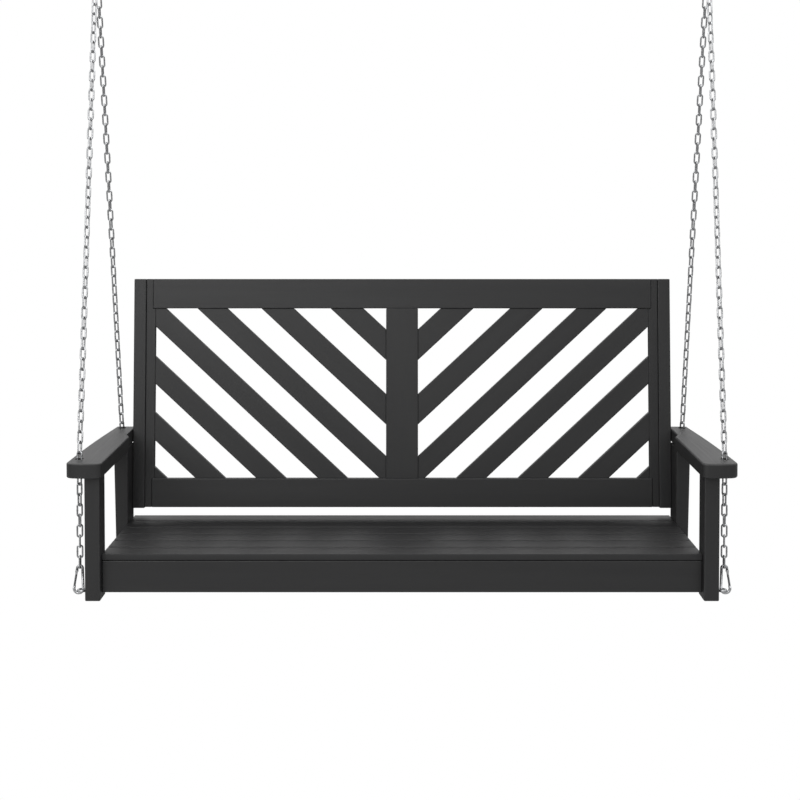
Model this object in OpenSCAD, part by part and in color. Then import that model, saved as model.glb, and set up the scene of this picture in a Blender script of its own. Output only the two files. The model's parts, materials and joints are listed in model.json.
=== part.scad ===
// Two-seat porch swing with a chevron back, hung on four chains from two ceiling hooks.
// X runs along the seat, +Y towards the back, +Z up. The origin is midway between the two
// ceiling hooks, in the plane of the ceiling. Inside the file the swing is drawn with Z = 0 at
// the feet and Y = 0 at the front of the front posts, and place() moves it under the hooks.

/* [Side frames] */
// Width over the outer faces of the posts
frame_w = 1450; // [1100:10:1900]
// Width of a post's front face
post_w = 35; // [30:1:50]
// Depth of the front post
post_d = 64; // [50:1:90]
// Clear distance from the front post to the rear post
post_gap = 300; // [240:5:380]
// Depth of the rear post, which also carries the back
rear_post_d = 84; // [70:1:100]
// Height of the posts, feet to armrest
post_h = 288; // [240:2:360]
// Amount the rear post narrows towards its foot
post_taper = 5; // [0:1:8]

/* [Armrests] */
// Thickness of an armrest
arm_t = 34; // [25:1:40]
// How far the armrest's front stands out past the post's outer face
arm_over_outer = 37; // [30:1:60]
// How far the armrest stands in past the post's inner face
arm_over_inner = 10; // [0:1:20]
// Overhang in front of the front post
arm_over_front = 30; // [15:1:50]
// Overhang behind the rear post
arm_over_rear = 42; // [36:1:60]
// Inward sweep of the outer edge from front to rear
arm_sweep = 23; // [0:1:30]
// Outward crown of the outer edge
arm_crown = 4; // [1:0.5:10]
// Radius of the armrest's outer front corner
arm_corner_r = 20; // [8:1:24]
// Bow of the armrest's front edge
arm_bow = 2.5; // [1:0.5:6]
// Diameter of the hole that a chain drops through
chain_hole_d = 20; // [18:1:26]

/* [Seat] */
// Number of seat slats
seat_slats = 6; // [4:1:8]
// Width of a seat slat
seat_slat_w = 69; // [50:1:90]
// Thickness of a seat slat
seat_slat_t = 14; // [12:1:22]
// Gap between two seat slats
seat_slat_gap = 5; // [3:0.5:10]
// Height of the seat's front edge above the feet
seat_h = 104; // [95:1:150]
// Backward tilt of the seat in degrees
seat_rake = 1; // [0:0.5:6]
// Setback of the seat and apron behind the post's front face
seat_setback = 21; // [10:1:30]
// Height of the front apron
apron_h = 74; // [50:1:90]
// Thickness of the apron and the seat rails
rail_t = 22; // [18:1:30]
// Height of the seat rails and bearers
rail_h = 56; // [40:1:70]
// Number of bearers between the side rails
bearers = 3; // [1:1:4]

/* [Back] */
// Backward lean of the back in degrees
back_rake = 5; // [3:0.5:8]
// Height of the back along its slope
back_h = 586; // [450:5:650]
// Gap under the back, above the seat frame's datum
back_z = 122.3; // [118:0.5:180]
// Distance from the front of the swing to the foot of the back
back_y = 425.3; // [405:0.5:440]
// Face width of an outer stile
stile_w = 31; // [25:1:45]
// Depth of an outer stile
stile_d = 45; // [35:1:60]
// Face width of an inner stile
inner_stile_w = 24; // [18:1:35]
// How far a rail's end is let into the inner stile
rail_housing = 6.5; // [3:0.5:10]
// Width of the centre stile
centre_w = 82; // [60:1:100]
// Height of the top rail
top_rail_h = 76; // [60:1:90]
// Height of the bottom rail
bottom_rail_h = 73; // [60:1:90]
// Thickness of the back's rails
back_rail_t = 24; // [20:1:30]
// Thickness of the inner stiles and chevron slats
panel_t = 16; // [12:1:20]
// Angle of the chevron slats in degrees
chevron_angle = 42.8; // [35:0.2:55]
// Widths of the chevron slats, from the top one down
chevron_widths = [58, 57, 52.5, 52, 52, 52.5, 52.5];
// Gaps under the chevron slats, from the top one down
chevron_gaps = [64, 59.5, 55, 55.5, 53.5, 49.5];
// Height where the top chevron slat's upper edge would meet the swing's centre line
chevron_top = 418.3; // [400:0.5:440]

/* [Chains and hardware] */
// Wire diameter of a chain link
link_wire = 4; // [3:0.5:5]
// Inner length of a chain link
link_pitch = 24.2; // [20:0.1:30]
// Outer width of a chain link
link_w = 15.6; // [14:0.1:18]
// Links in a front chain; a rear chain takes the number that brings it to the same ring
chain_links = 61; // [40:1:80]
// Twist of a front chain in degrees, at even steps from its ring to the armrest and on down
front_twist = [0, 38, 15, 12, 12, 30, 28, 20, 20, 20, 24, 55];
// Twist of a rear chain in degrees, at the same steps
rear_twist = [0, 4, 3, 3, 4, 8, 20, 36, 38, 38, 40, 60];
// Half the distance between the ceiling hooks
hang_x = 750; // [560:1:1000]
// Distance from the front of the swing back to the ceiling hooks
hang_y = 312; // [240:1:360]
// Length of a snap hook
snap_l = 70; // [60:1:80]
// Wire diameter of a snap hook
snap_wire = 6.5; // [5:0.5:8]
// Distance from a post's face to the middle of its screw eye's outer side
eye_reach = 21; // [18:0.5:26]
// Distance from a post's face to the chain beside it
chain_out = 16.5; // [14:0.5:20]
// Height of the screw eyes above the feet
eye_z = 18; // [16:0.5:40]

/* [Hidden] */
$fn = 48;
slat_count = len(chevron_widths);
SIDES = ["left", "right"];
CORNERS = ["front_left", "front_right", "rear_left", "rear_right"];

paint = [0.16, 0.16, 0.17];
zinc = [0.72, 0.73, 0.75];

// levels and lines that several pieces share
post_out = frame_w / 2;
post_in = post_out - post_w;
rear_y = post_d + post_gap;
rear_back_y = rear_y + rear_post_d;
arm_top = post_h + arm_t;
seat_depth = seat_slats * seat_slat_w + (seat_slats - 1) * seat_slat_gap;
slat_half = post_in - 1;
stile_in = post_in - stile_w;
panel_half = stile_in - inner_stile_w;
rail_half = panel_half + rail_housing;
panel_low = bottom_rail_h + 2;
panel_high = back_h - top_rail_h;
rail_recess = 2;
panel_recess = 5;
bearer_foot = 1;

// screws, dowels and brackets
screw_d = 4;
screw_head_d = 8;
screw_l = 45;
screw_sink = 0.6;
dowel_d = 10;
dowel_l = 50;
bracket_leg = 20;
bracket_t = 2.5;
bracket_h = 90;
bracket_z = 150;
bracket_screw_d = 4;

// chain geometry: two links rest on each other with a hair of play
link_play = 0.15;
link_step = link_pitch - link_play;
link_bend = (link_w - link_wire) / 2;
chain_x = post_out + chain_out;
chain_front_y = 30;
chain_rear_x = post_out - 3;
chain_rear_y = rear_back_y + chain_out;
eye_wire = 6;
eye_r = 8.75;
eye_screw_l = 32;
rear_eye_x = post_in + 18;

// snap hook: a pear of wire, wide at the bottom, drawn with its bottom arc's centre at zero
snap_r = snap_wire / 2;
snap_big = 10.5;
snap_small = 6;
snap_gap = snap_l - 2 * snap_r - snap_big - snap_small;
snap_lean = asin((snap_big - snap_small) / snap_gap);
snap_tilt = asin((eye_reach - chain_out) / (snap_l - snap_wire));
nose_rise = 6;
rod_wire = snap_wire - 0.2;
rod_lap = 0.4;
gate_wire = 5;
gate_play = 0.5;
gate_pin_d = 2.4;
gate_pin_play = 0.05;
gate_cheek = 1.5;
gate_lug = 3;
gate_lug_d = snap_wire + 0.7;
gate_top = snap_gap - 7;

// ring and ceiling hook
ring_r = 22;
ring_wire = 7;
hook_wire = 9;
hook_r = 16;
ring_play = 0.4;
hook_gap = 75;
shank_l = 18;
flange_d = 26;
flange_t = 3;
thread_d = 8;
thread_l = 60;
pivot_rise = ring_r - ring_wire / 2 - hook_wire / 2 - ring_play;

// where each chain turns at its armrest hole, and where it ends on its snap hook
link_half = link_pitch / 2 + link_wire / 2;
rest_gap = 0.2;
snap_base = eye_z - snap_r - eye_wire / 2 - rest_gap + snap_big;
snap_top = snap_base + snap_gap + snap_small;
last_link_z = snap_top - snap_r - link_wire / 2 - rest_gap + link_half;
hole_z = arm_top - 4;
first_link = link_half - ring_wire / 2 - link_wire / 2 - rest_gap;
front_hole = [chain_x, chain_front_y, hole_z];
rear_hole = [chain_rear_x, chain_rear_y, hole_z];
front_end = [chain_x, chain_front_y, last_link_z];
rear_lean = (chain_rear_x - rear_eye_x) / (hole_z - last_link_z);
rear_end = [rear_eye_x + link_half * rear_lean, chain_rear_y, last_link_z];

// height of the ring, from the front chain's whole length
front_lower = norm(front_hole - front_end);
front_upper = (chain_links - 1) * link_step - front_lower + ring_r + first_link;
ring_z = hole_z + sqrt(pow(front_upper, 2) - pow(hang_y - chain_front_y, 2) - pow(hang_x - chain_x, 2));
ring_c = [hang_x, hang_y, ring_z];
pivot_z = ring_z + pivot_rise;
rear_run = norm(rear_hole - ring_c) - ring_r - first_link + norm(rear_end - rear_hole);
rear_links = 1 + ceil(rear_run / link_step - 0.3);
ceiling_z = pivot_z + 2 * hook_r + shank_l + flange_t;

module place() translate([0, -hang_y, -ceiling_z]) children();
module mirrored(side) mirror([side == "left" ? 1 : 0, 0, 0]) children();
module seat_frame() translate([0, seat_setback, seat_h]) rotate([-seat_rake, 0, 0]) children();
module back_frame() translate([0, back_y, back_z]) rotate([-back_rake, 0, 0]) children();

// a box given by its low and high corners
module span_box(low, high) translate(low) cube(high - low);

// ---- side frames ----

module front_post(side) color(paint) place() mirrored(side) difference() {
    span_box([post_in, 0, 0], [post_out, post_d, post_h]);
    arm_dowels();
    front_eye_shank();
}

module rear_post(side) color(paint) place() mirrored(side) difference() {
    translate([0, rear_back_y, 0]) rotate([90, 0, 0]) linear_extrude(rear_post_d)
        polygon([[post_in, 0], [post_out - post_taper, 0], [post_out, post_h], [post_in, post_h]]);
    arm_dowels();
    rear_eye_shank();
    bracket_holes();
}

// the armrest's outline: bowed front, crowned outer edge, notch round the back
module arm_outline() {
    front = -arm_over_front;
    rear = rear_back_y + arm_over_rear;
    inner = post_in - arm_over_inner;
    outer = post_out + arm_over_outer;
    notch_y = rear_y - 30;
    steps = 16;
    r = arm_corner_r;
    r_in = 0.75 * r;
    len_y = rear - front - r;
    polygon(concat(
        [for (i = [0:6]) [inner + r_in - r_in * cos(15 * i), front + r_in - r_in * sin(15 * i)]],
        [for (i = [1:5]) [inner + r_in + (outer - inner - r - r_in) * i / 6, front - arm_bow * sin(30 * i)]],
        [for (i = [0:6]) [outer - r + r * sin(15 * i), front + r - r * cos(15 * i)]],
        [for (i = [1:steps])
            [outer - arm_sweep * i / steps + arm_crown * sin(180 * i / steps), front + r + len_y * i / steps]],
        [[post_in + 1, rear], [post_in + 1, notch_y + 30], [inner, notch_y]]
    ));
}

module armrest(side) color(paint) place() mirrored(side) difference() {
    translate([0, 0, post_h]) linear_extrude(arm_t) arm_outline();
    for (hole = [front_hole, rear_hole])
        translate([hole[0], hole[1], post_h - 1]) cylinder(d = chain_hole_d, h = arm_t + 2);
    arm_dowels();
}

// two dowels between each post and its armrest, and the holes they fill
module arm_dowels() for (f = [0.28, 0.72]) for (y = [post_d * f, rear_y + rear_post_d * f])
    translate([(post_in + post_out) / 2, y, post_h - dowel_l / 2]) cylinder(d = dowel_d, h = dowel_l);

module post_dowels() color([0.76, 0.62, 0.42]) place() for (side = SIDES) mirrored(side) arm_dowels();

// ---- seat ----

module side_rail(side) color(paint) place() mirrored(side) difference() {
    seat_frame() span_box([post_in - rail_t, 0, -seat_slat_t - rail_h], [post_in, seat_depth - rail_t, -seat_slat_t]);
    behind_apron();
    slat_screw_row(post_in - rail_t / 2, "hole");
}

// everything in front of the apron's back face
module behind_apron() span_box([-frame_w, -100, -50], [frame_w, seat_setback + bearer_foot + rail_t, seat_h + 50]);

module front_apron() color(paint) place()
    translate([-post_in, seat_setback + bearer_foot, seat_h - seat_slat_t - 1.5 - apron_h])
        cube([2 * post_in, rail_t, apron_h]);

module rear_rail() color(paint) place() seat_frame()
    span_box([-post_in, seat_depth - rail_t, -seat_slat_t - rail_h], [post_in, seat_depth, -seat_slat_t]);

function bearer_x(i) = -post_in + 2 * post_in * i / (bearers + 1);

module seat_bearer(i) color(paint) place() difference() {
    seat_frame() span_box([bearer_x(i) - rail_t / 2, 0, -seat_slat_t - rail_h],
        [bearer_x(i) + rail_t / 2, seat_depth - rail_t, -seat_slat_t]);
    behind_apron();
    slat_screw_row(bearer_x(i), "hole");
}

function slat_y(i) = (i - 1) * (seat_slat_w + seat_slat_gap);

module seat_slat(i) color(paint) place() difference() {
    seat_frame() span_box([-slat_half, slat_y(i), -seat_slat_t], [slat_half, slat_y(i) + seat_slat_w, 0]);
    slat_screws("hole");
}

// one countersunk screw a slat, along one rail or bearer
module slat_screw_row(x, kind) seat_frame() for (i = [1:seat_slats])
    translate([x, slat_y(i) + seat_slat_w / 2, -screw_sink]) {
        translate([0, 0, -screw_l]) cylinder(d = screw_d, h = screw_l + (kind == "hole" ? 2 : 0), $fn = 24);
        translate([0, 0, -screw_head_d / 4]) cylinder(d1 = screw_d, d2 = screw_head_d, h = screw_head_d / 4, $fn = 24);
        if (kind == "hole") cylinder(d = screw_head_d, h = screw_sink + 2, $fn = 24);
    }

module slat_screws(kind) {
    for (s = [-1, 1]) slat_screw_row(s * (post_in - rail_t / 2), kind);
    for (i = [1:bearers]) slat_screw_row(bearer_x(i), kind);
}

module seat_screws() color([0.2, 0.2, 0.21]) place() slat_screws("screw");

// ---- back ----

module outer_stile(side) color(paint) place() mirrored(side) difference() {
    back_frame() span_box([stile_in, 0, 0], [post_in, stile_d, back_h]);
    bracket_holes();
}

module inner_stile(side) color(paint) place() mirrored(side) back_frame() difference() {
    span_box([panel_half, panel_recess, 2], [stile_in, panel_recess + panel_t, back_h]);
    span_box([0, 0, 0], [rail_half, stile_d, panel_low]);
    span_box([0, 0, panel_high], [rail_half, stile_d, back_h + 1]);
}

module back_rail(low, high) color(paint) place() back_frame()
    span_box([-rail_half, rail_recess, low], [rail_half, rail_recess + back_rail_t, high]);

module centre_stile() color(paint) place() back_frame()
    span_box([-centre_w / 2, rail_recess, panel_low], [centre_w / 2, rail_recess + back_rail_t, panel_high]);

// height on the swing's centre line of a chevron slat's upper edge
function chevron_drop(i) = i == 0 ? 0 : chevron_drop(i - 1) + chevron_widths[i - 1] + chevron_gaps[i - 1];

module chevron_slat(side, i) color(paint) place() mirrored(side) back_frame()
    translate([0, panel_recess + panel_t, 0]) rotate([90, 0, 0]) linear_extrude(panel_t) intersection() {
        translate([centre_w / 2, panel_low]) square([panel_half - centre_w / 2, panel_high - panel_low]);
        translate([0, chevron_top]) rotate(chevron_angle)
            translate([-back_h, -chevron_drop(i - 1) - chevron_widths[i - 1]])
                square([frame_w + back_h, chevron_widths[i - 1]]);
    }

// a steel angle in the corner between the rear post's back and the outer stile's side
module back_bracket() difference() {
    union() {
        span_box([post_in, rear_back_y, bracket_z], [post_in + bracket_leg, rear_back_y + bracket_t, bracket_z + bracket_h]);
        span_box([post_in, rear_back_y, bracket_z], [post_in + bracket_t, rear_back_y + bracket_leg, bracket_z + bracket_h]);
    }
    bracket_holes();
}

module bracket_holes() for (f = [0.2, 0.8]) {
    translate([post_in + bracket_leg * 0.6, rear_back_y + 5, bracket_z + bracket_h * f])
        rotate([90, 0, 0]) cylinder(d = bracket_screw_d, h = 30, $fn = 24);
    translate([post_in - 25, rear_back_y + bracket_leg * 0.6, bracket_z + bracket_h * f])
        rotate([0, 90, 0]) cylinder(d = bracket_screw_d, h = 30, $fn = 24);
}

module bracket_screw() {
    cylinder(d = bracket_screw_d, h = 24, $fn = 24);
    translate([0, 0, 24]) cylinder(d = bracket_screw_d * 2, h = 2, $fn = 24);
}

module back_brackets() color(zinc) place() for (side = SIDES) mirrored(side) {
    back_bracket();
    for (f = [0.2, 0.8]) {
        translate([post_in + bracket_leg * 0.6, rear_back_y + bracket_t - 24, bracket_z + bracket_h * f])
            rotate([-90, 0, 0]) bracket_screw();
        translate([post_in + bracket_t - 24, rear_back_y + bracket_leg * 0.6, bracket_z + bracket_h * f])
            rotate([0, 90, 0]) bracket_screw();
    }
}

// ---- chains ----

// one link, long along Z, with its loop in the XZ plane
module link() {
    straight = link_pitch - 2 * (link_bend - link_wire / 2);
    for (s = [0, 180]) rotate([0, s, 0]) {
        translate([0, 0, straight / 2]) rotate([90, 0, 0])
            rotate_extrude(angle = 180, $fn = 36) translate([link_bend, 0]) circle(d = link_wire, $fn = 16);
        translate([link_bend, 0, -straight / 2]) cylinder(d = link_wire, h = straight, $fn = 16);
    }
}

// a point at a distance down the chain: from the ring to the armrest, then to the snap hook
function unit(v) = v / norm(v);
function chain_point(start, hole, end, s) = let (a = norm(hole - start))
    s < a ? start + unit(hole - start) * s : hole + unit(end - hole) * (s - a);

// twist at a fraction of the way down; the last link ends square to the snap hook's wire
function twist_at(twist, last, f) = let (
        all = concat(twist, [last]), t = min(max(f, 0), 1) * (len(all) - 1), i = min(floor(t), len(all) - 2)
    ) all[i] + (all[i + 1] - all[i]) * (t - i);

// square_to is the angle at which the last link crosses the snap hook's wire
module chain(hole, end, count, twist, square_to) {
    ring_side = ring_c + ring_r * unit([0, hole[1] - ring_c[1], hole[2] - ring_c[2]]);
    start = ring_side + unit(hole - ring_side) * first_link;
    step = (norm(hole - start) + norm(end - hole)) / (count - 1);
    last = square_to + 90 * (count - 1) % 180;
    for (k = [0:count - 1]) {
        p = chain_point(start, hole, end, step * k);
        d = unit(chain_point(start, hole, end, step * k + 1) - chain_point(start, hole, end, step * k - 1));
        heading = atan2(-d[1], -d[0]);
        translate(p) rotate([0, 180 - acos(d[2]), heading])
            rotate([0, 0, 90 * k + twist_at(twist, last, k / (count - 1)) - heading]) link();
    }
}

module corner(name) mirrored(name == "front_left" || name == "rear_left" ? "left" : "right") children();
function is_front(name) = name == "front_left" || name == "front_right";

module chain_at(name) color(zinc) place() corner(name)
    if (is_front(name)) chain(front_hole, front_end, chain_links, front_twist, 90);
    else chain(rear_hole, rear_end, rear_links, rear_twist, 0);

// ---- snap hooks ----

// places a hook drawn in its own XZ plane: outward is +X
module at_snap(name) corner(name)
    if (is_front(name)) translate([post_out + eye_reach, chain_front_y, snap_base]) snap_tilted() children();
    else translate([rear_eye_x, rear_back_y + eye_reach, snap_base]) rotate([0, 0, 90]) snap_tilted() children();

// leans the hook about its own bottom, so that its top meets the chain
module snap_tilted() translate([0, 0, -snap_big]) rotate([0, -snap_tilt, 0]) translate([0, 0, snap_big]) children();

module arc_wire(r, d, from, sweep) rotate([90, 0, 0]) rotate([0, 0, from])
    rotate_extrude(angle = sweep) translate([r, 0]) circle(d = d, $fn = 24);

// where the gate's pin stands, on the outer side's line
function side_x(z) = snap_big * cos(snap_lean) - (z - snap_big * sin(snap_lean)) * tan(snap_lean);
gate_pivot = [side_x(gate_top), gate_top];

module snap_body() {
    straight = snap_gap * cos(snap_lean);
    arc_wire(snap_big, snap_wire, 180 - snap_lean, 180 + 2 * snap_lean);
    translate([0, 0, snap_gap]) arc_wire(snap_small, snap_wire, snap_lean, 180 - 2 * snap_lean);
    side_rod(-1, -rod_lap, straight + rod_lap, rod_wire);
    side_rod(1, -rod_lap, nose_rise - snap_big * sin(snap_lean), rod_wire);
    difference() {
        side_rod(1, gate_top - 1, straight + rod_lap, rod_wire);
        gate_slots();
    }
    at_pivot() cylinder(d = gate_lug_d, h = gate_lug, center = true);
    at_pivot() cylinder(d = gate_pin_d, h = gate_lug + 2 * gate_cheek + 1.2, center = true);
}

// a turn about the gate's pin
module at_pivot(y = 0) translate([gate_pivot[0], y, gate_pivot[1]]) rotate([90, 0, 0]) children();

// room for the gate's two cheeks on the hook
module gate_slots() for (s = [-1, 1])
    at_pivot(s * (gate_lug / 2 + 0.1 + 5)) cylinder(d = snap_wire + 2.4, h = 10, center = true);

// a round rod along one straight side, between two distances up from the bottom arc's end
module side_rod(side, from, to, d)
    translate([side * snap_big * cos(snap_lean), 0, snap_big * sin(snap_lean)])
        rotate([0, -side * snap_lean, 0]) translate([0, 0, from]) cylinder(d = d, h = to - from, $fn = 24);

module snap_hook(name) color(zinc) place() at_snap(name) snap_body();

module gate_body() {
    low = nose_rise - snap_big * sin(snap_lean) + gate_play;
    high = (gate_top - snap_big * sin(snap_lean)) / cos(snap_lean) - gate_lug_d / 2 - 0.6;
    side_rod(1, low, high, gate_wire);
    difference() {
        for (s = [-1, 1]) hull() {
            cheek = s * (gate_lug / 2 + 0.35 + gate_cheek / 2);
            at_pivot(cheek) cylinder(d = snap_wire - 0.6, h = gate_cheek, center = true, $fn = 32);
            translate([side_x(gate_top - 7), cheek, gate_top - 7]) rotate([90, 0, 0])
                cylinder(d = gate_wire - 1.5, h = gate_cheek, center = true, $fn = 32);
        }
        at_pivot() cylinder(d = gate_pin_d + 2 * gate_pin_play, h = 20, center = true);
    }
}

module snap_gate(name) color(zinc) place() at_snap(name) gate_body();

// ---- screw eyes, rings and ceiling hooks ----

module front_eye_shank() translate([post_out - eye_screw_l, chain_front_y, eye_z])
    rotate([0, 90, 0]) cylinder(d = eye_wire - 1, h = eye_screw_l + 1);

module rear_eye_shank() translate([rear_eye_x, rear_back_y + 1, eye_z])
    rotate([90, 0, 0]) cylinder(d = eye_wire - 1, h = eye_screw_l + 1);

module screw_eye() {
    rotate_extrude() translate([eye_r, 0]) circle(d = eye_wire, $fn = 24);
    translate([-eye_reach + eye_r - eye_screw_l, 0, 0]) rotate([0, 90, 0]) cylinder(d = eye_wire - 1, h = eye_screw_l);
    translate([-eye_reach + eye_r, 0, 0]) rotate([0, 90, 0]) cylinder(d = eye_wire + 2, h = 1.5);
}

module screw_eyes() color(zinc) place() for (side = SIDES) mirrored(side) {
    translate([post_out + eye_reach - eye_r, chain_front_y, eye_z]) screw_eye();
    translate([rear_eye_x, rear_back_y + eye_reach - eye_r, eye_z]) rotate([0, 0, 90]) screw_eye();
}

module top_rings() color(zinc) place() for (side = SIDES) mirrored(side)
    translate(ring_c) rotate([0, 90, 0]) rotate_extrude() translate([ring_r, 0]) circle(d = ring_wire, $fn = 24);

// an open hook with its screw shank, hanging from the ceiling
module ceiling_hook() translate([hang_x, hang_y, pivot_z + hook_r]) {
    arc_wire(hook_r, hook_wire, 90 + hook_gap, 360 - hook_gap);
    translate([0, 0, hook_r]) cylinder(d = hook_wire, h = shank_l);
    translate([0, 0, hook_r]) sphere(d = hook_wire + 2.5);
    rotate([0, -hook_gap, 0]) translate([0, 0, hook_r]) sphere(d = hook_wire + 1.5);
    translate([0, 0, hook_r + shank_l]) cylinder(d = flange_d, h = flange_t);
    translate([0, 0, hook_r + shank_l + flange_t]) cylinder(d = thread_d, h = thread_l - 10);
    translate([0, 0, hook_r + shank_l + flange_t + thread_l - 10]) cylinder(d1 = thread_d, d2 = 1, h = 10);
}

module ceiling_hooks() color(zinc) place() for (side = SIDES) mirrored(side) ceiling_hook();

// ---- the assembly ----

ceiling_hooks();
top_rings();
for (c = CORNERS) {
    chain_at(c);
    snap_hook(c);
    snap_gate(c);
}
screw_eyes();
for (s = SIDES) {
    front_post(s);
    rear_post(s);
    armrest(s);
    side_rail(s);
    outer_stile(s);
    inner_stile(s);
    for (i = [1:slat_count])
        chevron_slat(s, i);
}
front_apron();
rear_rail();
for (i = [1:bearers]) seat_bearer(i);
for (i = [1:seat_slats]) seat_slat(i);
centre_stile();
back_rail(panel_high, back_h);  // top_rail
back_rail(2, panel_low);  // bottom_rail
back_brackets();
seat_screws();
post_dowels();
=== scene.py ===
import bpy, bmesh, json, math
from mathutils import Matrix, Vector

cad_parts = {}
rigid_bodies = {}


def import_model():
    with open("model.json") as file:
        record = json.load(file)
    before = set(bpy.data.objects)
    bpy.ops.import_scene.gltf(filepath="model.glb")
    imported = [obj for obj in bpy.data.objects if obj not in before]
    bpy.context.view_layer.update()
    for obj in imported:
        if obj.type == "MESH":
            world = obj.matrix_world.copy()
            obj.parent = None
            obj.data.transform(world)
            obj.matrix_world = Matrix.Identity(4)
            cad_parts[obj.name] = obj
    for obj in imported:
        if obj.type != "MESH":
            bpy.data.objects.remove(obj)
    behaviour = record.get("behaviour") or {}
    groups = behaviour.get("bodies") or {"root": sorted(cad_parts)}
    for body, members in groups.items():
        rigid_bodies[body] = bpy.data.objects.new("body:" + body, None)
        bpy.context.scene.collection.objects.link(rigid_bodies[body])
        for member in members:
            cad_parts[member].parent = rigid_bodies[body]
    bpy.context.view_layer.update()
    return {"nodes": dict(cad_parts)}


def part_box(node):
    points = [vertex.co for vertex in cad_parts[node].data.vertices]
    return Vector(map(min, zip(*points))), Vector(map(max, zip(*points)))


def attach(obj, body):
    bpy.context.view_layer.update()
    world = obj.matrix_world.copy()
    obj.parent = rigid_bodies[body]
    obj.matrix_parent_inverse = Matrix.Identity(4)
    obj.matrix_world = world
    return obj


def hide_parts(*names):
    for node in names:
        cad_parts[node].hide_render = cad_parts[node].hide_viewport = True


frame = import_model()
nodes = frame["nodes"]
scene = bpy.context.scene
print("porch swing: frame loaded,", len(nodes), "pieces")

sides = {"left": -1, "right": 1}
corners = ["front_left", "front_right", "rear_left", "rear_right"]
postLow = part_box("front_post_right")[0]
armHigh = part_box("armrest_right")[1]


# a point in millimetres from the front posts' feet, midway between them
def at(x, y, z):
    return Vector((x / 1000, postLow.y + y / 1000, postLow.z + z / 1000))


paint = {
    "colour": (0.0050, 0.0050, 0.0054),
    "grainColour": (0.0085, 0.0085, 0.0088),
    "arrisColour": (0.016, 0.016, 0.0165),
    "roughness": (0.42, 0.54),
    "grainDepth": 0.000022,
    "streaksAcross": 260,
    "streaksAlong": 7,
}
zinc = {
    "colour": (0.47, 0.475, 0.485),
    "dullColour": (0.29, 0.295, 0.30),
    "roughness": (0.20, 0.36),
    "pitDepth": 0.00003,
}


def shaderTree(name):
    mat = bpy.data.materials.new(name)
    mat.use_nodes = True
    tree = mat.node_tree
    bsdf = tree.nodes["Principled BSDF"]

    def add(kind, **settings):
        n = tree.nodes.new(kind)
        for key, value in settings.items():
            if key.startswith("in_"):
                n.inputs[key[3:].replace("_", " ")].default_value = value
            else:
                setattr(n, key, value)
        return n

    def link(a, b):
        tree.links.new(a, b)

    return mat, bsdf, add, link


def mixColours(add, link, factor, first, second):
    mix = add("ShaderNodeMix", data_type="RGBA")
    for socket, value in ((mix.inputs[6], first), (mix.inputs[7], second)):
        if isinstance(value, tuple):
            socket.default_value = (*value, 1)
        else:
            link(value, socket)
    if isinstance(factor, float):
        mix.inputs[0].default_value = factor
    else:
        link(factor, mix.inputs[0])
    return mix.outputs[2]


def ramp(add, link, source, low, high, toLow=0.0, toHigh=1.0):
    r = add("ShaderNodeMapRange")
    r.inputs["From Min"].default_value = low
    r.inputs["From Max"].default_value = high
    r.inputs["To Min"].default_value = toLow
    r.inputs["To Max"].default_value = toHigh
    link(source, r.inputs["Value"])
    return r.outputs[0]


# satin paint over open-grained boards; turn aims the grain, in degrees about X, Y and Z
def paintedWood(name, turn):
    mat, bsdf, add, link = shaderTree(name)
    coords = add("ShaderNodeTexCoord")
    aim = add("ShaderNodeMapping", vector_type="TEXTURE")
    aim.inputs["Rotation"].default_value = [math.radians(a) for a in turn]
    link(coords.outputs["Object"], aim.inputs["Vector"])

    def streaks(along, across, detail, rough):
        stretch = add("ShaderNodeMapping")
        stretch.inputs["Scale"].default_value = (along, across, across)
        link(aim.outputs["Vector"], stretch.inputs["Vector"])
        noise = add("ShaderNodeTexNoise", in_Scale=1.0, in_Detail=detail, in_Roughness=rough)
        noise.inputs["Distortion"].default_value = 0.15
        link(stretch.outputs["Vector"], noise.inputs["Vector"])
        return noise.outputs["Fac"]

    grain = streaks(paint["streaksAlong"], paint["streaksAcross"], 5.0, 0.55)
    pores = streaks(paint["streaksAlong"] * 5, paint["streaksAcross"] * 4, 2.0, 0.5)
    bands = streaks(1.6, 26, 3.0, 0.5)
    brush = streaks(3, 900, 2.0, 0.6)
    tone = ramp(add, link, bands, 0.35, 0.68, 0.0, 0.8)
    colour = mixColours(add, link, tone, paint["colour"], paint["grainColour"])
    # the paint is thinner along the eased edges
    edge = add("ShaderNodeAttribute", attribute_name="arris")
    worn = add("ShaderNodeTexNoise", in_Scale=38.0, in_Detail=4.0, in_Roughness=0.65)
    link(coords.outputs["Object"], worn.inputs["Vector"])
    patchy = ramp(add, link, worn.outputs["Fac"], 0.42, 0.68, 0.15, 0.9)
    edgeFactor = add("ShaderNodeMath", operation="MULTIPLY")
    link(edge.outputs["Fac"], edgeFactor.inputs[0])
    link(patchy, edgeFactor.inputs[1])
    thinned = mixColours(add, link, edgeFactor.outputs[0], colour, paint["arrisColour"])
    link(thinned, bsdf.inputs["Base Color"])
    gloss = mixColours(add, link, 0.5, grain, brush)
    link(ramp(add, link, gloss, 0.3, 0.7, *paint["roughness"]), bsdf.inputs["Roughness"])
    poreCut = ramp(add, link, pores, 0.30, 0.46)
    deep = add("ShaderNodeBump", in_Strength=0.85, in_Distance=paint["grainDepth"])
    link(poreCut, deep.inputs["Height"])
    shallow = add("ShaderNodeBump", in_Strength=0.8, in_Distance=paint["grainDepth"] * 1.6)
    link(grain, shallow.inputs["Height"])
    link(deep.outputs["Normal"], shallow.inputs["Normal"])
    fine = add("ShaderNodeBump", in_Strength=0.5, in_Distance=paint["grainDepth"] * 0.35)
    link(brush, fine.inputs["Height"])
    link(shallow.outputs["Normal"], fine.inputs["Normal"])
    link(fine.outputs["Normal"], bsdf.inputs["Normal"])
    bsdf.inputs["IOR"].default_value = 1.5
    return mat


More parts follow.
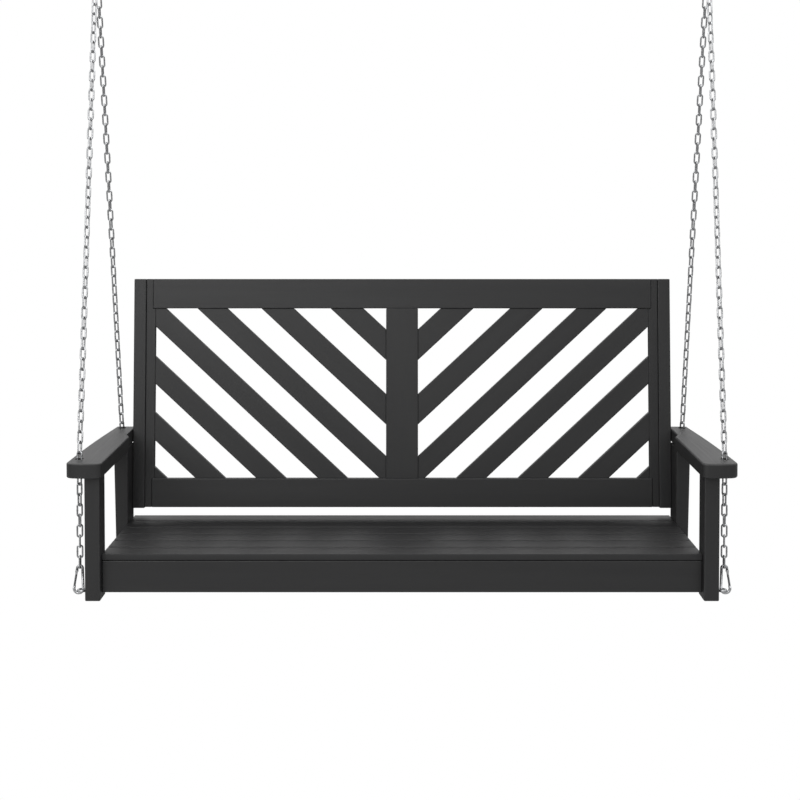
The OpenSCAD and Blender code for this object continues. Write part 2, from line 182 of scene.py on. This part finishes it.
def zincSteel(name, tint=1.0):
    mat, bsdf, add, link = shaderTree(name)
    coords = add("ShaderNodeTexCoord")
    cloud = add("ShaderNodeTexNoise", in_Scale=160.0, in_Detail=3.0, in_Roughness=0.55)
    link(coords.outputs["Object"], cloud.inputs["Vector"])
    speck = add("ShaderNodeTexVoronoi", in_Scale=900.0)
    link(coords.outputs["Object"], speck.inputs["Vector"])
    pits = add("ShaderNodeTexNoise", in_Scale=2600.0, in_Detail=2.0)
    link(coords.outputs["Object"], pits.inputs["Vector"])
    bright = tuple(c * tint for c in zinc["colour"])
    dull = tuple(c * tint for c in zinc["dullColour"])
    patch = ramp(add, link, cloud.outputs["Fac"], 0.35, 0.68)
    base = mixColours(add, link, patch, bright, dull)
    flake = ramp(add, link, speck.outputs["Color"], 0.0, 1.0, 0.0, 0.25)
    link(mixColours(add, link, flake, base, dull), bsdf.inputs["Base Color"])
    link(ramp(add, link, cloud.outputs["Fac"], 0.3, 0.7, *zinc["roughness"]), bsdf.inputs["Roughness"])
    bsdf.inputs["Metallic"].default_value = 1.0
    bump = add("ShaderNodeBump", in_Strength=0.6, in_Distance=zinc["pitDepth"])
    link(pits.outputs["Fac"], bump.inputs["Height"])
    link(bump.outputs["Normal"], bsdf.inputs["Normal"])
    return mat


def dowelBeech(name):
    mat, bsdf, add, link = shaderTree(name)
    coords = add("ShaderNodeTexCoord")
    stretch = add("ShaderNodeMapping")
    stretch.inputs["Scale"].default_value = (300, 300, 20)
    link(coords.outputs["Object"], stretch.inputs["Vector"])
    noise = add("ShaderNodeTexNoise", in_Scale=1.0, in_Detail=4.0)
    link(stretch.outputs["Vector"], noise.inputs["Vector"])
    grain = mixColours(add, link, noise.outputs["Fac"], (0.50, 0.34, 0.19), (0.66, 0.50, 0.32))
    link(grain, bsdf.inputs["Base Color"])
    link(ramp(add, link, noise.outputs["Fac"], 0.3, 0.7, 0.55, 0.75), bsdf.inputs["Roughness"])
    return mat


backRake = 5
chevronAngle = 42.8
woodAlongX = paintedWood("blackSatinAlongX", (0, 0, 0))
woodAlongY = paintedWood("blackSatinAlongY", (0, 0, 90))
woodAlongZ = paintedWood("blackSatinAlongZ", (0, -90, 0))
woodUpBack = paintedWood("blackSatinUpBack", (-backRake, -90, 0))
woodChevronRight = paintedWood("blackSatinChevronRight", (-backRake, -chevronAngle, 0))
woodChevronLeft = paintedWood("blackSatinChevronLeft", (-backRake, chevronAngle, 0))
chainSteel = zincSteel("zincChain")
hookSteel = zincSteel("zincHooks", 1.1)
screwBlack = paintedWood("blackScrewHeads", (0, 0, 0))
beech = dowelBeech("dowelBeech")
print("porch swing: materials ready")


boards = {
    "weld": 1e-6,
    "shortestEdge": 0.0022,
    "arms": 0.0045,
    "posts": 0.0028,
    "apron": 0.0025,
    "stiles": 0.0022,
    "rails": 0.0020,
    "slats": 0.0014,
    "hidden": 0.0010,
}


# a board's own copy with eased edges; radius is the easing
def easedBoard(node, mat, radius, body="swing"):
    mesh = nodes[node].data.copy()
    mesh.materials.clear()
    bm = bmesh.new()
    bm.from_mesh(mesh)
    bmesh.ops.remove_doubles(bm, verts=bm.verts, dist=boards["weld"])
    bmesh.ops.dissolve_limit(
        bm, angle_limit=math.radians(0.4), verts=bm.verts, edges=bm.edges, delimit=set())
    arris = bm.faces.layers.float.new("arris")
    sharp = [
        e for e in bm.edges
        if len(e.link_faces) == 2 and e.calc_face_angle(0) > math.radians(28)
        and e.calc_length() > boards["shortestEdge"]
    ]
    eased = bmesh.ops.bevel(
        bm, geom=sharp, offset=radius, segments=3, profile=0.5, affect="EDGES", clamp_overlap=True)
    for face in eased["faces"]:
        face[arris] = 1.0
    for face in bm.faces:
        face.smooth = True
    bm.to_mesh(mesh)
    bm.free()
    mesh.set_sharp_from_angle(angle=math.radians(40))
    board = bpy.data.objects.new("board." + node, mesh)
    scene.collection.objects.link(board)
    mesh.materials.append(mat)
    tidy = board.modifiers.new("faceNormals", "WEIGHTED_NORMAL")
    tidy.keep_sharp = True
    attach(board, body)
    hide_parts(node)
    return board


for side in sides:
    easedBoard("armrest_" + side, woodAlongY, boards["arms"])
    easedBoard("front_post_" + side, woodAlongZ, boards["posts"])
    easedBoard("rear_post_" + side, woodAlongZ, boards["posts"])
    easedBoard("side_rail_" + side, woodAlongY, boards["hidden"])
    easedBoard("outer_stile_" + side, woodUpBack, boards["stiles"])
    easedBoard("inner_stile_" + side, woodUpBack, boards["slats"])
    chevronWood = woodChevronLeft if side == "left" else woodChevronRight
    for node in sorted(n for n in nodes if n.startswith("chevron_slat_" + side)):
        easedBoard(node, chevronWood, boards["slats"])
easedBoard("front_apron", woodAlongX, boards["apron"])
easedBoard("rear_rail", woodAlongX, boards["hidden"])
for node in sorted(n for n in nodes if n.startswith("seat_bearer_")):
    easedBoard(node, woodAlongY, boards["hidden"])
easedBoard("top_rail", woodAlongX, boards["rails"])
easedBoard("bottom_rail", woodAlongX, boards["rails"])
easedBoard("centre_stile", woodUpBack, boards["slats"])
print("porch swing: boards eased")


class Tree:
    def __init__(self, name):
        self.tree = bpy.data.node_groups.new(name, "GeometryNodeTree")
        self.tree.interface.new_socket("Geometry", in_out="OUTPUT", socket_type="NodeSocketGeometry")
        self.ids = {}
        self.source = self.tree.nodes.new("NodeGroupInput")
        self.end = self.tree.nodes.new("NodeGroupOutput")

    # a named size that the modifier sets
    def size(self, name, kind="NodeSocketFloat"):
        socket = self.tree.interface.new_socket(name, in_out="INPUT", socket_type=kind)
        self.ids[name] = socket.identifier
        return next(o for o in self.source.outputs if o.identifier == socket.identifier)

    def add(self, kind, inputs=None, **settings):
        n = self.tree.nodes.new(kind)
        for key, value in settings.items():
            setattr(n, key, value)
        for key, value in (inputs or {}).items():
            socket = n.inputs[key]
            if isinstance(value, bpy.types.NodeSocket):
                self.tree.links.new(value, socket)
            else:
                socket.default_value = value
        return n

    def math(self, operation, a, b=0.0):
        return self.add("ShaderNodeMath", {0: a, 1: b}, operation=operation).outputs[0]

    def vector(self, x=0.0, y=0.0, z=0.0):
        return self.add("ShaderNodeCombineXYZ", {0: x, 1: y, 2: z}).outputs[0]

    def finish(self, geometry, material):
        real = self.add("GeometryNodeRealizeInstances", {"Geometry": geometry})
        paintIt = self.add("GeometryNodeSetMaterial", {"Geometry": real.outputs[0], "Material": material})
        self.tree.links.new(paintIt.outputs[0], self.end.inputs[0])


# runs a tree on a start mesh or curve, and keeps the result as a plain mesh
def grow(name, tree, values, start, body, replaced, sharpAngle=40):
    holder = bpy.data.objects.new(name + ".holder", start)
    scene.collection.objects.link(holder)
    mod = holder.modifiers.new("grow", "NODES")
    mod.node_group = tree.tree
    for key, value in values.items():
        mod[tree.ids[key]] = value
    bpy.context.view_layer.update()
    made = holder.evaluated_get(bpy.context.evaluated_depsgraph_get())
    mesh = bpy.data.meshes.new_from_object(made)
    mesh.name = name
    bpy.data.objects.remove(holder)
    mesh.shade_smooth()
    mesh.set_sharp_from_angle(angle=math.radians(sharpAngle))
    piece = bpy.data.objects.new(name, mesh)
    scene.collection.objects.link(piece)
    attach(piece, body)
    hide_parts(*replaced)
    print("  ", name, len(mesh.polygons), "faces")
    return piece


slats = {
    "length": 1.378, "width": 0.069, "thickness": 0.014, "gap": 0.005,
    "edge": 0.0006, "setback": 21, "height": 104, "rake": -1.0,
}


def slatTree():
    t = Tree("seatSlats")
    start = t.size("Start", "NodeSocketGeometry")
    count = t.size("Slats", "NodeSocketInt")
    length, width, thick = t.size("Length"), t.size("Width"), t.size("Thickness")
    gap, edge = t.size("Gap"), t.size("Edge Radius")
    section = t.add("GeometryNodeCurvePrimitiveQuadrilateral", {"Width": width, "Height": thick})
    eased = t.add("GeometryNodeFilletCurve", {
        "Curve": section.outputs[0], "Radius": edge, "Limit Radius": True, "Count": 4}, mode="POLY")
    half = t.math("MULTIPLY", length, 0.5)
    run = t.add("GeometryNodeCurvePrimitiveLine", {
        "Start": t.vector(t.math("MULTIPLY", half, -1.0)), "End": t.vector(half)})
    runSteps = t.add("GeometryNodeResampleCurve", {"Curve": run.outputs[0], "Count": 24})
    board = t.add("GeometryNodeCurveToMesh", {
        "Curve": runSteps.outputs[0], "Profile Curve": eased.outputs[0], "Fill Caps": True})
    # the swept board is shifted half its width along Y and half its thickness down, then set along the row
    pitch = t.math("ADD", width, gap)
    row = t.add("GeometryNodeMeshLine", {"Count": count, "Offset": t.vector(0.0, pitch, 0.0)})
    inset = t.vector(0.0, t.math("MULTIPLY", width, 0.5), t.math("MULTIPLY", thick, -0.5))
    flat = t.add("GeometryNodeTransform", {"Geometry": board.outputs[0], "Translation": inset})
    placed = t.add("GeometryNodeInstanceOnPoints", {"Points": row.outputs[0], "Instance": flat.outputs[0]})
    seat = t.add("GeometryNodeTransform", {
        "Geometry": placed.outputs[0], "Translation": at(0, slats["setback"], slats["height"]),
        "Rotation": (math.radians(slats["rake"]), 0, 0)})
    t.finish(seat.outputs[0], woodAlongX)
    return t


slatNodes = sorted(n for n in nodes if n.startswith("seat_slat_"))
grow("seatSlats", slatTree(), {
    "Slats": len(slatNodes), "Length": slats["length"], "Width": slats["width"],
    "Thickness": slats["thickness"], "Gap": slats["gap"], "Edge Radius": slats["edge"],
}, bpy.data.meshes.new("slatStart"), "swing", slatNodes)
print("porch swing: seat laid")


chain = {
    "wire": 0.004, "pitch": 0.0242, "width": 0.0156, "corner": 0.0047,
    "ringRadius": 22, "ringWire": 7, "hangX": 750, "hangY": 312,
    "holeDrop": 4, "restGap": 0.2, "play": 0.15, "frontLinks": 61,
    "weldReach": 0.0024, "weldSwell": 0.14,
    "frontHole": (741.5, 30), "rearHole": (722, 464.5), "rearEndX": 708,
    "frontTwist": [0, 38, 15, 12, 12, 30, 28, 20, 20, 20, 24, 55, 90],
    "rearTwist": [0, 4, 3, 3, 4, 8, 20, 36, 38, 38, 40, 60, 90],
}


# the snap hooks' sizes and the height of their screw eyes, in millimetres
snap = {
    "length": 70, "wire": 6.5, "wideRadius": 10.5,
    "eyeHeight": 18, "eyeWire": 6,
}


def chainTree(name, twist):
    t = Tree(name)
    path = t.size("Path", "NodeSocketGeometry")
    links = t.size("Links", "NodeSocketInt")
    wire, pitch, width = t.size("Wire"), t.size("Pitch"), t.size("Width")
    corner, side = t.size("Corner Radius"), t.size("Side")
    loop = t.add("GeometryNodeCurvePrimitiveQuadrilateral", {
        "Width": t.math("SUBTRACT", width, wire), "Height": t.math("ADD", pitch, wire)})
    bent = t.add("GeometryNodeFilletCurve", {
        "Curve": loop.outputs[0], "Radius": corner, "Limit Radius": True, "Count": 6}, mode="POLY")
    steps = t.add("GeometryNodeResampleCurve", {"Curve": bent.outputs[0], "Count": 40})
    # the butt weld is a low bulge half way down one side
    place = t.add("ShaderNodeSeparateXYZ", {0: t.add("GeometryNodeInputPosition").outputs[0]})
    onSide = t.math("GREATER_THAN", place.outputs[0], t.math("MULTIPLY", width, 0.3))
    away = t.math("DIVIDE", t.math("ABSOLUTE", place.outputs[1]), chain["weldReach"])
    near = t.math("MAXIMUM", t.math("SUBTRACT", 1.0, away), 0.0)
    bulge = t.math("ADD", 1.0, t.math("MULTIPLY", t.math("MULTIPLY", onSide, near), chain["weldSwell"]))
    swell = t.add("GeometryNodeSetCurveRadius", {"Curve": steps.outputs[0], "Radius": bulge})
    rod = t.add("GeometryNodeCurvePrimitiveCircle", {"Resolution": 12, "Radius": t.math("MULTIPLY", wire, 0.5)})
    link = t.add("GeometryNodeCurveToMesh", {"Curve": swell.outputs[0], "Profile Curve": rod.outputs[0]})
    if "Scale" in link.inputs:
        t.tree.links.new(bulge, link.inputs["Scale"])
    # stood up, long along Z
    upright = t.add("GeometryNodeTransform", {"Geometry": link.outputs[0], "Rotation": (math.pi / 2, 0, 0)})
    points = t.add("GeometryNodeResampleCurve", {"Curve": path, "Count": links})
    toPoints = t.add("GeometryNodeCurveToPoints", {"Curve": points.outputs[0]}, mode="EVALUATED")
    flip = t.add("ShaderNodeVectorMath", {
        0: toPoints.outputs["Tangent"], 1: (-1, -1, -1)}, operation="MULTIPLY")
    down = t.add("FunctionNodeAlignRotationToVector", {"Vector": flip.outputs[0]}, axis="Z")
    order = t.add("GeometryNodeInputIndex").outputs[0]
    part = t.math("DIVIDE", order, t.math("SUBTRACT", links, 1.0))
    curve = t.add("ShaderNodeFloatCurve", {"Value": part})
    line = curve.mapping.curves[0]
    while len(line.points) > 2:
        line.points.remove(line.points[1])
    line.points[0].location = (0, twist[0] / 90)
    line.points[1].location = (1, twist[-1] / 90)
    for i, degrees in enumerate(twist[1:-1]):
        line.points.new((i + 1) / (len(twist) - 1), degrees / 90)
    for p in line.points:
        p.handle_type = "VECTOR"
    curve.mapping.update()
    quarter = t.math("MULTIPLY", order, math.pi / 2)
    twisted = t.math("MULTIPLY", t.math("MULTIPLY", curve.outputs[0], math.pi / 2), side)
    turn = t.math("ADD", quarter, twisted)
    roll = t.add("FunctionNodeEulerToRotation", {"Euler": t.vector(0.0, 0.0, turn)})
    rolled = t.add("FunctionNodeRotateRotation", {
        "Rotation": down.outputs[0], "Rotate By": roll.outputs[0]}, rotation_space="LOCAL")
    strung = t.add("GeometryNodeInstanceOnPoints", {
        "Points": toPoints.outputs["Points"], "Instance": upright.outputs[0],
        "Rotation": rolled.outputs[0]})
    t.finish(strung.outputs[0], chainSteel)
    return t


# the line through a chain's link centres, from the ring through the armrest to the snap hook
def chainLine(name):
    side = sides[name.split("_")[1]]
    front = name.startswith("front")
    half = chain["pitch"] * 500 + chain["wire"] * 500
    holeZ = (armHigh.z - postLow.z) * 1000 - chain["holeDrop"]
    endZ = snapTop - (snap["wire"] / 2 + chain["wire"] * 500 + chain["restGap"]) + half
    holeX, holeY = chain["frontHole" if front else "rearHole"]
    hole = (holeX, holeY, holeZ)
    lean = (holeX - chain["rearEndX"]) / (holeZ - endZ)
    end = (holeX, holeY, endZ) if front else (chain["rearEndX"] + half * lean, holeY, endZ)
    ringLow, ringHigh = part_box("top_rings")
    ring = Vector((chain["hangX"], chain["hangY"], ((ringLow.z + ringHigh.z) / 2 - postLow.z) * 1000))
    hole, end = Vector(hole), Vector(end)
    toHole = hole - ring
    toHole.x = 0
    bar = ring + toHole.normalized() * chain["ringRadius"]
    clear = half - chain["ringWire"] / 2 - chain["wire"] * 500 - chain["restGap"]
    start = bar + (hole - bar).normalized() * clear
    curve = bpy.data.curves.new("line." + name, "CURVE")
    curve.dimensions = "3D"
    spline = curve.splines.new("POLY")
    spline.points.add(2)
    for p, v in zip(spline.points, (start, hole, end)):
        p.co = (*at(v.x * side, v.y, v.z), 1)
    length = (hole - start).length + (end - hole).length
    return curve, length


eyeFloor = snap["eyeHeight"] - snap["eyeWire"] / 2 - chain["restGap"]
snapBase = eyeFloor - snap["wire"] / 2 + snap["wideRadius"]
snapTop = snapBase + (snap["length"] - snap["wire"] - snap["wideRadius"])
chainTrees = {
    "front": chainTree("frontChain", chain["frontTwist"]),
    "rear": chainTree("rearChain", chain["rearTwist"]),
}
for name in corners:
    curve, length = chainLine(name)
    step = chain["pitch"] * 1000 - chain["play"]
    count = chain["frontLinks"] if name.startswith("front") else 1 + math.ceil(length / step - 0.3)
    tree = chainTrees[name.split("_")[0]]
    grow("chain." + name, tree, {
        "Links": count, "Wire": chain["wire"], "Pitch": chain["pitch"], "Width": chain["width"],
        "Corner Radius": chain["corner"], "Side": float(sides[name.split("_")[1]]),
    }, curve, "swing", ["chain_" + name], sharpAngle=80)
print("porch swing: chains hung")


def smoothCopy(node, mat, body, angle=32):
    mesh = nodes[node].data.copy()
    mesh.materials.clear()
    bm = bmesh.new()
    bm.from_mesh(mesh)
    bmesh.ops.remove_doubles(bm, verts=bm.verts, dist=2e-6)
    for face in bm.faces:
        face.smooth = True
    bm.to_mesh(mesh)
    bm.free()
    mesh.set_sharp_from_angle(angle=math.radians(angle))
    mesh.materials.append(mat)
    piece = bpy.data.objects.new("smooth." + node, mesh)
    scene.collection.objects.link(piece)
    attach(piece, body)
    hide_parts(node)
    return piece


for name in corners:
    smoothCopy("snap_hook_" + name, hookSteel, "swing")
    smoothCopy("snap_gate_" + name, hookSteel, "gate_" + name)
smoothCopy("screw_eyes", hookSteel, "swing")
smoothCopy("top_rings", hookSteel, "swing")
smoothCopy("ceiling_hooks", hookSteel, "hangers")
smoothCopy("back_brackets", hookSteel, "swing")
smoothCopy("seat_screws", screwBlack, "swing")
smoothCopy("post_dowels", beech, "swing")
print("porch swing: hardware fitted")


studio = {
    "floorDrop": 0.36, "floorColour": (0.42, 0.42, 0.42), "floorPatch": (0.46, 0.46, 0.46),
    "floorHalf": 14, "floorGlow": 1.0, "cardHalf": 0.78,
    "sky": [(0.51, 0.02), (0.60, 0.85), (0.72, 1.65), (1.0, 0.70)], "overhead": 45, "front": 43,
    "cardBack": 1.6, "cardTop": 0.46,
}


def buildStage():
    z = postLow.z - studio["floorDrop"]
    mesh = bpy.data.meshes.new("floor")
    size = studio["floorHalf"]
    rim = [(-size, -size, z), (size, -size, z), (size, size, z), (-size, size, z)]
    mesh.from_pydata(rim, [], [(0, 1, 2, 3)])
    floor = bpy.data.objects.new("floor", mesh)
    scene.collection.objects.link(floor)
    mat, bsdf, add, link = shaderTree("paleFloor")
    coords = add("ShaderNodeTexCoord")
    noise = add("ShaderNodeTexNoise", in_Scale=1.5, in_Detail=2.0)
    link(coords.outputs["Object"], noise.inputs["Vector"])
    tone = mixColours(add, link, noise.outputs["Fac"], studio["floorColour"], studio["floorPatch"])
    link(tone, bsdf.inputs["Base Color"])
    bsdf.inputs["Roughness"].default_value = 0.9
    # the floor is lit white to the eye, and gives the swing less light than it shows
    rays = add("ShaderNodeLightPath")
    glow = add("ShaderNodeEmission")
    glow.inputs["Color"].default_value = (1, 1, 1, 1)
    glow.inputs["Strength"].default_value = 1.0
    share = add("ShaderNodeMath", operation="MULTIPLY")
    share.inputs[1].default_value = studio["floorGlow"]
    link(rays.outputs["Is Camera Ray"], share.inputs[0])
    both = add("ShaderNodeMixShader")
    link(share.outputs[0], both.inputs[0])
    link(bsdf.outputs[0], both.inputs[1])
    link(glow.outputs[0], both.inputs[2])
    link(both.outputs[0], mat.node_tree.nodes["Material Output"].inputs["Surface"])
    mesh.materials.append(mat)

    # a dark card well behind keeps low light from shining in under the back
    half, top, back = studio["cardHalf"], postLow.z + studio["cardTop"], postLow.y + studio["cardBack"]
    mesh = bpy.data.meshes.new("darkCard")
    rim = [(-half, back, z), (half, back, z), (half, back, top), (-half, back, top)]
    mesh.from_pydata(rim, [], [(0, 1, 2, 3)])
    card = bpy.data.objects.new("darkCard", mesh)
    scene.collection.objects.link(card)
    mat, bsdf, add, link = shaderTree("darkCard")
    coords = add("ShaderNodeTexCoord")
    noise = add("ShaderNodeTexNoise", in_Scale=3.0)
    link(coords.outputs["Object"], noise.inputs["Vector"])
    tone = mixColours(add, link, noise.outputs["Fac"], (0.01, 0.01, 0.01), (0.014, 0.014, 0.014))
    link(tone, bsdf.inputs["Base Color"])
    bsdf.inputs["Roughness"].default_value = 0.9
    mesh.materials.append(mat)
    card.visible_camera = False

    world = bpy.data.worlds.new("studioWhite")
    scene.world = world
    world.use_nodes = True
    tree = world.node_tree
    sky = tree.nodes["Background"]
    sky.inputs["Color"].default_value = (1, 1, 1, 1)
    # to the swing the room is bright from just above the horizon, and dim below it
    rays = tree.nodes.new("ShaderNodeLightPath")
    where = tree.nodes.new("ShaderNodeTexCoord")
    apart = tree.nodes.new("ShaderNodeSeparateXYZ")
    tree.links.new(where.outputs["Generated"], apart.inputs[0])
    height = tree.nodes.new("ShaderNodeMapRange")
    height.inputs["From Min"].default_value = -1.0
    tree.links.new(apart.outputs["Z"], height.inputs["Value"])
    room = tree.nodes.new("ShaderNodeValToRGB")
    stops = room.color_ramp.elements
    while len(stops) < len(studio["sky"]):
        stops.new(0.5)
    for stop, (place, value) in zip(stops, studio["sky"]):
        stop.position = place
        stop.color = (value, value, value, 1)
    tree.links.new(height.outputs[0], room.inputs[0])
    level = tree.nodes.new("ShaderNodeMapRange")
    level.inputs["To Max"].default_value = 1.0
    tree.links.new(room.outputs[0], level.inputs["To Min"])
    tree.links.new(rays.outputs["Is Camera Ray"], level.inputs["Value"])
    tree.links.new(level.outputs[0], sky.inputs["Strength"])

    def softbox(name, place, aimAt, size, power):
        light = bpy.data.lights.new(name, "AREA")
        light.shape = "RECTANGLE"
        light.size, light.size_y = size
        light.energy = power
        lamp = bpy.data.objects.new(name, light)
        scene.collection.objects.link(lamp)
        lamp.location = place
        lamp.rotation_euler = (Vector(aimAt) - Vector(place)).to_track_quat("-Z", "Y").to_euler()

    middle = at(0, 230, 300)
    softbox("overhead", middle + Vector((0, -0.4, 2.6)), middle, (3.2, 2.4), studio["overhead"])
    softbox("frontFill", middle + Vector((-1.6, -3.4, 1.6)), middle, (2.4, 1.8), studio["front"])


buildStage()
scene.view_settings.view_transform = "Standard"

view = {
    "lens": 69.54, "shiftX": -0.00256, "shiftY": -0.2149,
    "distance": 3500, "height": 976.5, "tiltDown": 2.006,
}
camera = bpy.data.cameras.new("camera")
camera.sensor_width = 36
camera.lens = view["lens"]
camera.shift_x = view["shiftX"]
camera.shift_y = view["shiftY"]
camera.clip_start = 0.01
cameraObject = bpy.data.objects.new("camera", camera)
scene.collection.objects.link(cameraObject)
cameraObject.location = at(0, -view["distance"], view["height"])
cameraObject.rotation_euler = (math.radians(90 - view["tiltDown"]), 0, 0)
scene.camera = cameraObject
